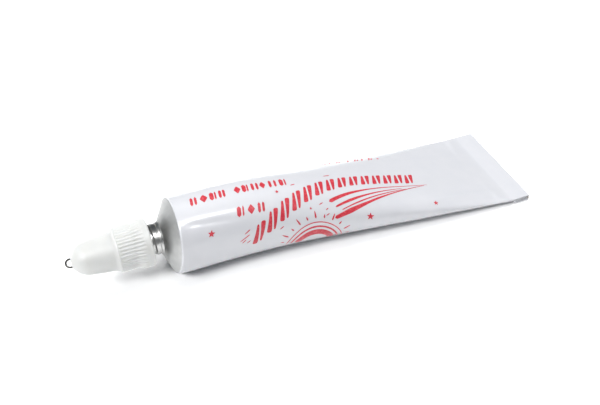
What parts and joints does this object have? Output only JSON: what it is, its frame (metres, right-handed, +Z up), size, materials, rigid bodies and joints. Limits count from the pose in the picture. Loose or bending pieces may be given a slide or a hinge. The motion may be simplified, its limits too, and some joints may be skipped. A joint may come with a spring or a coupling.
{
  "type": "collapsible cement tube",
  "caption": "Collapsible aluminium tube of cement with a rolled tail, threaded neck, ribbed screw-on nozzle and a wire pin that closes the tip.",
  "frame": {"origin": "on the surface that the tube lies on, under the middle of its length", "axes": "+X from the nozzle to the rolled tail, +Z up, with the nozzle's axis level along X"},
  "size_m": [0.121, 0.0296, 0.0194],
  "materials": {
    "white_enamel": "glossy white enamel on soft aluminium, printed in red",
    "bare_aluminium": "satin bare metal, brighter on the turned neck",
    "latex_seal": "matte dried latex",
    "cement": "clear thick cement",
    "white_polythene": "translucent moulded polythene",
    "steel_wire": "dull drawn wire"
  },
  "bodies": {
    "tube": {"side_wall": "white_enamel", "shoulder_neck": "bare_aluminium", "end_seal": "latex_seal", "cement_fill": "cement"},
    "screw_travel": {"nozzle_cement": "cement"},
    "nozzle": {"nozzle": "white_polythene"},
    "closing_pin": {"closing_pin": "steel_wire"}
  },
  "joints": [
    {"name": "nozzle_travel", "type": "slide", "parent": "tube", "child": "screw_travel", "axis": [-1, 0, 0], "range_m": [-0.002, 0.0045]},
    {"name": "nozzle_turn", "type": "hinge", "parent": "screw_travel", "child": "nozzle", "pos_m": [-0.05, 0, 0.0104], "axis": [-1, 0, 0], "range_deg": [-480, 1080]},
    {"name": "pin_pull", "type": "slide", "parent": "nozzle", "child": "closing_pin", "axis": [-1, 0, 0], "range_m": [0, 0.01]}
  ],
  "couplings": [
    {"joint": "nozzle_turn", "follows": "nozzle_travel", "rad_per_m": 4188.8}
  ]
}
